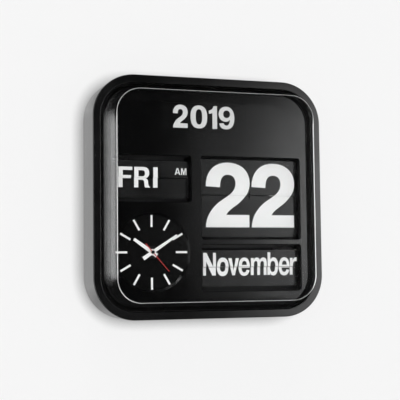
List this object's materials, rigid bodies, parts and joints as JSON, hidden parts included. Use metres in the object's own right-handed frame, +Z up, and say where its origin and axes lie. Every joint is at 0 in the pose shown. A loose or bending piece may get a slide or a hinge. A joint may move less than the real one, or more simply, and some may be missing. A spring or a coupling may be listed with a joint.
{
  "type": "flip calendar wall clock",
  "caption": "Square wall clock under a raised clear cover: flip leaves show day, date and month beside a small analogue dial, with a year card above.",
  "frame": {"origin": "on the wall plane at the top of the keyhole slot, where the wall screw carries the clock", "axes": "+Z up, +Y back into the wall, +X to the viewer's right; the dial faces -Y"},
  "size_m": [0.24, 0.0665, 0.24],
  "materials": {
    "case_black": "gloss moulded ABS, fine satin grain",
    "clear": "clear polished polycarbonate",
    "face_black": "gloss moulded plastic",
    "card_black": "printed plastic card",
    "dial_black": "satin printed disc",
    "white_paint": "white lacquer",
    "red_paint": "red lacquer",
    "brass": "turned",
    "steel": "zinc plated",
    "motor_steel": "plated can",
    "movement_black": "moulded",
    "inner_black": "moulded, matt",
    "rear_black": "moulded, fine spark texture",
    "cell_wrap": "plain printed sleeve over steel can",
    "board_green": "solder resist",
    "rubber": "soft",
    "acetal_white": "acetal",
    "leaf_black": "printed PVC sheet",
    "button_grey": "moulded"
  },
  "bodies": {
    "clock_case": {"battery_cells": "cell_wrap", "battery_contacts": "steel", "battery_springs": "steel", "battery_tray": "inner_black", "board_screws": "steel", "case_shell": "case_black", "chassis": "inner_black", "chassis_screws": "steel", "clear_cover": "clear", "control_board": "board_green", "cover_screws": "steel", "date_frame": "inner_black", "date_lower_leaves": "leaf_black", "date_motor": "motor_steel", "date_rear_leaves": "leaf_black", "date_upper_leaves": "leaf_black", "day_frame": "inner_black", "day_lower_leaves": "leaf_black", "day_motor": "motor_steel", "day_rear_leaves": "leaf_black", "day_upper_leaves": "leaf_black", "dial_disc": "dial_black", "face_plate": "face_black", "face_screws": "steel", "frame_screws": "steel", "hanger_plate": "steel", "hanger_screws": "steel", "hour_markers": "white_paint", "month_frame": "inner_black", "month_lower_leaves": "leaf_black", "month_motor": "motor_steel", "month_rear_leaves": "leaf_black", "month_upper_leaves": "leaf_black", "movement": "movement_black", "movement_nut": "movement_black", "rear_cover": "rear_black", "switches": "movement_black", "wall_bumpers": "rubber", "year_card": "card_black"},
    "hour_hand": {"hour_hand": "white_paint", "hour_tube": "brass"},
    "minute_hand": {"minute_hand": "white_paint", "minute_tube": "brass"},
    "second_hand": {"second_hand": "red_paint", "second_pin": "steel", "hub_cap": "leaf_black"},
    "time_knob": {"time_knob": "movement_black"},
    "battery_door": {"battery_door": "rear_black"},
    "day_leaf": {"day_leaf": "leaf_black"},
    "day_spool": {"day_spool": "inner_black"},
    "day_pinion": {"day_pinion": "acetal_white"},
    "day_button": {"day_button": "button_grey"},
    "date_leaf": {"date_leaf": "leaf_black"},
    "date_spool": {"date_spool": "inner_black"},
    "date_pinion": {"date_pinion": "acetal_white"},
    "date_button": {"date_button": "button_grey"},
    "month_leaf": {"month_leaf": "leaf_black"},
    "month_spool": {"month_spool": "inner_black"},
    "month_pinion": {"month_pinion": "acetal_white"},
    "month_button": {"month_button": "button_grey"}
  },
  "joints": [
    {"name": "minute_turn", "type": "hinge", "parent": "clock_case", "child": "minute_hand", "pos_m": [-0.0595, -0.0395, -0.1461], "axis": [0, 1, 0], "continuous": true},
    {"name": "hour_turn", "type": "hinge", "parent": "clock_case", "child": "hour_hand", "pos_m": [-0.0595, -0.0395, -0.1461], "axis": [0, 1, 0], "continuous": true},
    {"name": "second_turn", "type": "hinge", "parent": "clock_case", "child": "second_hand", "pos_m": [-0.0595, -0.0395, -0.1461], "axis": [0, 1, 0], "continuous": true},
    {"name": "time_setting", "type": "hinge", "parent": "clock_case", "child": "time_knob", "pos_m": [-0.0595, -0.0065, -0.1611], "axis": [0, 1, 0], "continuous": true},
    {"name": "day_leaf_fall", "type": "hinge", "parent": "clock_case", "child": "day_leaf", "pos_m": [-0.05875, -0.0285, -0.0721], "axis": [1, 0, 0], "range_deg": [0, 180]},
    {"name": "day_spool_turn", "type": "hinge", "parent": "clock_case", "child": "day_spool", "pos_m": [-0.05875, -0.019, -0.0721], "axis": [1, 0, 0], "continuous": true},
    {"name": "day_pinion_turn", "type": "hinge", "parent": "clock_case", "child": "day_pinion", "pos_m": [-0.05875, -0.0145, -0.05829], "axis": [1, 0, 0], "continuous": true},
    {"name": "day_button_press", "type": "slide", "parent": "clock_case", "child": "day_button", "axis": [0, -1, 0], "range_m": [0, 0.0008], "stiffness_N_per_m": 500},
    {"name": "date_leaf_fall", "type": "hinge", "parent": "clock_case", "child": "date_leaf", "pos_m": [0.04555, -0.0285, -0.0884], "axis": [1, 0, 0], "range_deg": [0, 180]},
    {"name": "date_spool_turn", "type": "hinge", "parent": "clock_case", "child": "date_spool", "pos_m": [0.04555, -0.019, -0.0884], "axis": [1, 0, 0], "continuous": true},
    {"name": "date_pinion_turn", "type": "hinge", "parent": "clock_case", "child": "date_pinion", "pos_m": [0.04555, -0.0145, -0.07459], "axis": [1, 0, 0], "continuous": true},
    {"name": "date_button_press", "type": "slide", "parent": "clock_case", "child": "date_button", "axis": [0, -1, 0], "range_m": [0, 0.0008], "stiffness_N_per_m": 500},
    {"name": "month_leaf_fall", "type": "hinge", "parent": "clock_case", "child": "month_leaf", "pos_m": [0.04555, -0.0285, -0.1612], "axis": [1, 0, 0], "range_deg": [0, 180]},
    {"name": "month_spool_turn", "type": "hinge", "parent": "clock_case", "child": "month_spool", "pos_m": [0.04555, -0.019, -0.1612], "axis": [1, 0, 0], "continuous": true},
    {"name": "month_pinion_turn", "type": "hinge", "parent": "clock_case", "child": "month_pinion", "pos_m": [0.04555, -0.0145, -0.14739], "axis": [1, 0, 0], "continuous": true},
    {"name": "month_button_press", "type": "slide", "parent": "clock_case", "child": "month_button", "axis": [0, -1, 0], "range_m": [0, 0.0008], "stiffness_N_per_m": 500},
    {"name": "battery_door_swing", "type": "hinge", "parent": "clock_case", "child": "battery_door", "pos_m": [0.054, -0.0033, -0.03345], "axis": [-1, 0, 0], "range_deg": [0, 95]}
  ],
  "couplings": [
    {"joint": "hour_turn", "follows": "minute_turn", "ratio": 0.083333},
    {"joint": "second_turn", "follows": "minute_turn", "ratio": 60},
    {"joint": "time_setting", "follows": "minute_turn", "ratio": -1},
    {"joint": "day_pinion_turn", "follows": "day_spool_turn", "ratio": -2.6},
    {"joint": "date_pinion_turn", "follows": "date_spool_turn", "ratio": -2.6},
    {"joint": "month_pinion_turn", "follows": "month_spool_turn", "ratio": -2.6}
  ]
}
